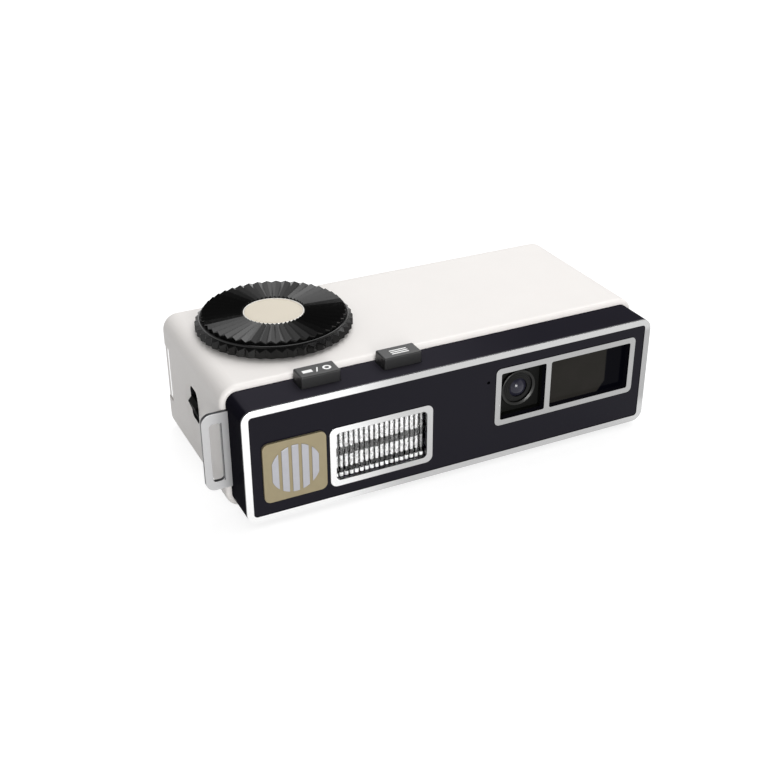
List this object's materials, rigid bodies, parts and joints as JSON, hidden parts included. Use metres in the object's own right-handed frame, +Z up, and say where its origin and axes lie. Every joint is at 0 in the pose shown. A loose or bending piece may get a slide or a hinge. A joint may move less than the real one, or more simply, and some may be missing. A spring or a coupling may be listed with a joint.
{
  "type": "compact retro digital camera",
  "caption": "Compact camera with a white rounded body, a glossy front block in a silver rim, a pleated top dial, a flash, a small lens window and a viewfinder.",
  "frame": {"origin": "tripod thread's axis in the base plane, at the middle of the white body", "axes": "+X right seen from the front, -Y out of the front (lens side), +Z up"},
  "size_m": [0.1123, 0.0542, 0.0352],
  "materials": {
    "body_white": "fine satin moulding, warm white",
    "rear_dark": "satin dark cover",
    "block_gloss": "polished black-blue moulding",
    "silver_plating": "satin silver paint",
    "panel_gloss": "glossy dark navy panel",
    "badge_champagne": "brushed champagne plate",
    "emblem_silver": "raised bright ring and bars",
    "clear_acrylic": "clear moulded acrylic",
    "reflector_bright": "polished reflector",
    "tube_glass": "gas discharge tube",
    "capacitor_sleeve": "shrink sleeve",
    "black_moulding": "matt black moulding",
    "barrel_black": "olive black lens barrel with a bright cone edge",
    "coated_glass": "coated optical glass",
    "sensor_face": "sensor package",
    "board_green": "circuit board with green mask",
    "smoked_glass": "dark smoked pane",
    "capsule_metal": "microphone capsule",
    "key_dark": "dark grey satin key",
    "switch_metal": "small push switch",
    "dial_black": "black pleated wheel",
    "steel": "plain steel",
    "button_rim": "light rim of the round button",
    "button_cream": "cream inlay",
    "lug_plating": "plated strap lug",
    "slider_dark": "ribbed dark slider",
    "switch_black": "slide switch body",
    "cover_white": "warm white cover, as the body",
    "socket_steel": "stamped steel shell",
    "screen_glass": "screen cover plate",
    "display_panel": "liquid crystal display",
    "chip_black": "chip packages",
    "rear_key": "round rear keys",
    "contact_gold": "gold plated contact blades",
    "battery_wrap": "battery wrap",
    "card_black": "memory card",
    "brass": "turned brass nut",
    "speaker_black": "small speaker",
    "screw_black": "black steel screws"
  },
  "bodies": {
    "camera": {"main_shell": "body_white", "rear_cover": "rear_dark", "front_block": "block_gloss", "front_rim": "silver_plating", "front_panel": "panel_gloss", "badge_plate": "badge_champagne", "badge_emblem": "emblem_silver", "flash_frame": "silver_plating", "flash_lens": "clear_acrylic", "flash_reflector": "reflector_bright", "flash_tube": "tube_glass", "flash_capacitor": "capacitor_sleeve", "window_frame": "silver_plating", "lens_well": "black_moulding", "lens_barrel": "barrel_black", "lens_elements": "coated_glass", "lens_holder": "black_moulding", "sensor_chip": "sensor_face", "sensor_board": "board_green", "viewfinder_window": "smoked_glass", "viewfinder_tunnel": "black_moulding", "viewfinder_objective": "clear_acrylic", "viewfinder_eyepiece": "clear_acrylic", "microphone": "capsule_metal", "front_key_board": "board_green", "tact_switches": "switch_metal", "detent_spring": "steel", "dial_board": "board_green", "shutter_guide": "black_moulding", "shutter_spring": "steel", "strap_lug": "lug_plating", "power_switch": "switch_black", "port_pin": "steel", "usb_socket": "socket_steel", "lcd_window": "screen_glass", "lcd_module": "display_panel", "main_board": "board_green", "board_chips": "chip_black", "battery_tray": "black_moulding", "battery_contacts": "contact_gold", "battery_pack": "battery_wrap", "battery_door_pin": "steel", "card_socket": "socket_steel", "memory_card": "card_black", "tripod_socket": "brass", "speaker": "speaker_black", "case_screws": "screw_black", "board_screws": "steel"},
    "dial": {"dial_wheel": "dial_black", "dial_retainer": "steel"},
    "shutter_cap": {"shutter_button": "button_rim", "shutter_inlay": "button_cream"},
    "mode_key": {"mode_button": "key_dark"},
    "menu_key": {"menu_button": "key_dark"},
    "slider": {"power_slider": "slider_dark"},
    "port_flap": {"port_cover": "cover_white"},
    "battery_flap": {"battery_door": "cover_white"},
    "up_key": {"up_button": "rear_key"},
    "ok_key": {"ok_button": "rear_key"},
    "down_key": {"down_button": "rear_key"}
  },
  "joints": [
    {"name": "dial_spin", "type": "hinge", "parent": "camera", "child": "dial", "pos_m": [-0.0317, 0.00216, 0.0325], "axis": [0, 0, 1], "continuous": true},
    {"name": "shutter_press", "type": "slide", "parent": "camera", "child": "shutter_cap", "axis": [0, 0, -1], "range_m": [0, 0.001], "stiffness_N_per_m": 1200, "springref_m": -0.00067, "deforming": ["shutter_spring"]},
    {"name": "mode_press", "type": "slide", "parent": "camera", "child": "mode_key", "axis": [0, 0, -1], "range_m": [0, 0.0008], "stiffness_N_per_m": 1200, "springref_m": -0.0005},
    {"name": "menu_press", "type": "slide", "parent": "camera", "child": "menu_key", "axis": [0, 0, -1], "range_m": [0, 0.0008], "stiffness_N_per_m": 1200, "springref_m": -0.0005},
    {"name": "power_slide", "type": "slide", "parent": "camera", "child": "slider", "axis": [0, 0, 1], "range_m": [0, 0.002]},
    {"name": "port_cover_hinge", "type": "hinge", "parent": "camera", "child": "port_flap", "pos_m": [-0.05292, 0.0182, 0.0096], "axis": [0, -1, 0], "range_deg": [0, 90]},
    {"name": "battery_door_hinge", "type": "hinge", "parent": "camera", "child": "battery_flap", "pos_m": [0.05292, 0, 0.0035], "axis": [0, 1, 0], "range_deg": [0, 90]},
    {"name": "up_press", "type": "slide", "parent": "camera", "child": "up_key", "axis": [0, -1, 0], "range_m": [0, 0.0005], "stiffness_N_per_m": 1000, "springref_m": -0.0004},
    {"name": "ok_press", "type": "slide", "parent": "camera", "child": "ok_key", "axis": [0, -1, 0], "range_m": [0, 0.0005], "stiffness_N_per_m": 1000, "springref_m": -0.0004},
    {"name": "down_press", "type": "slide", "parent": "camera", "child": "down_key", "axis": [0, -1, 0], "range_m": [0, 0.0005], "stiffness_N_per_m": 1000, "springref_m": -0.0004}
  ]
}
